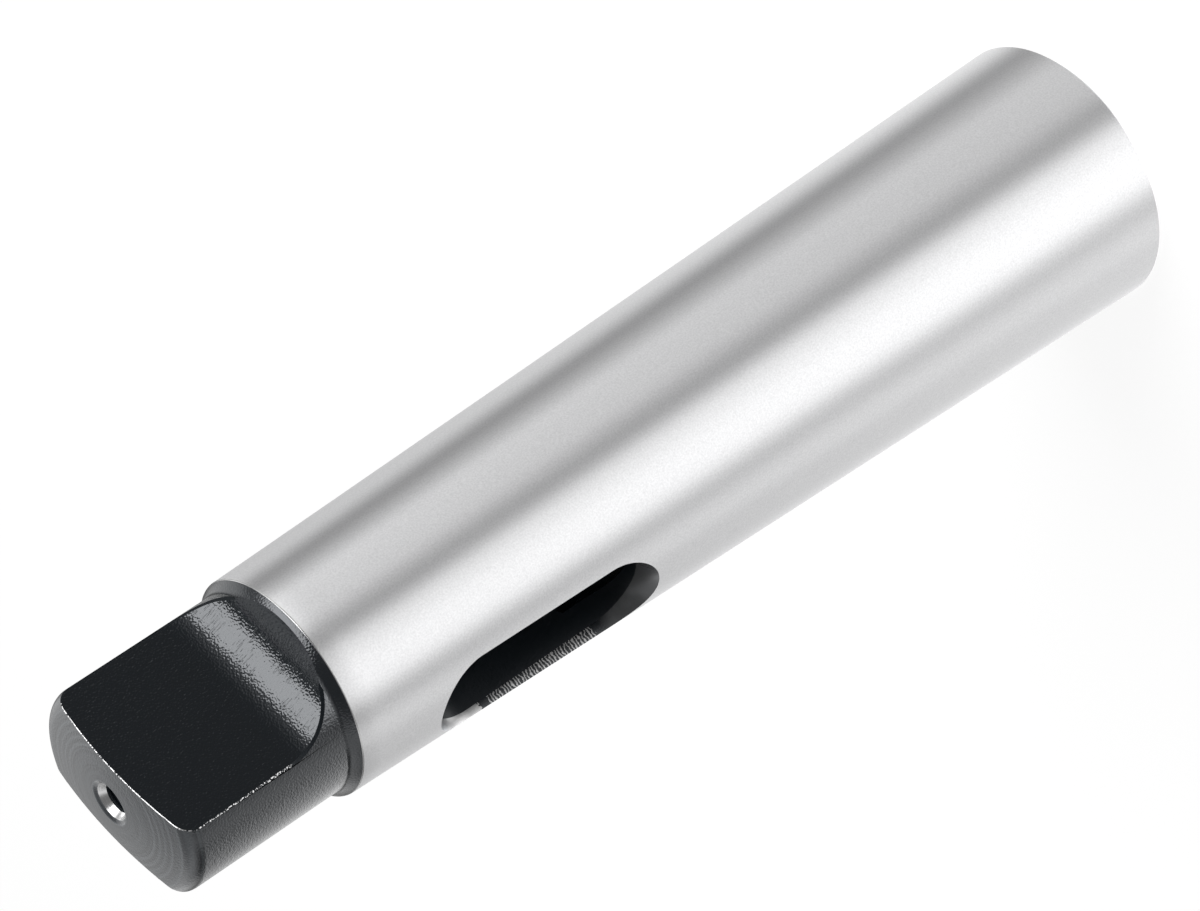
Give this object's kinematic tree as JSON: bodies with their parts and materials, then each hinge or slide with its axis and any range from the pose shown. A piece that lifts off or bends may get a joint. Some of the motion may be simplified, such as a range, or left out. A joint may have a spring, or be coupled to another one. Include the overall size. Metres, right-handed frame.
{
  "type": "morse taper sleeve",
  "caption": "Ground steel reduction sleeve with a self-holding taper outside, a smaller taper socket inside, a flared drift slot and a blackened drive tang.",
  "frame": {"origin": "centre of the large end's face, which the sleeve stands on", "axes": "+Z along the axis towards the tang, X square to the tang's flats, Y through the drift slot"},
  "size_m": [0.0324, 0.0324, 0.1399],
  "materials": {
    "sleeve_steel": "ground bright on both tapers, black oxide on the tang and in the slot"
  },
  "bodies": {
    "root": {"taper_sleeve": "sleeve_steel"}
  },
  "joints": []
}
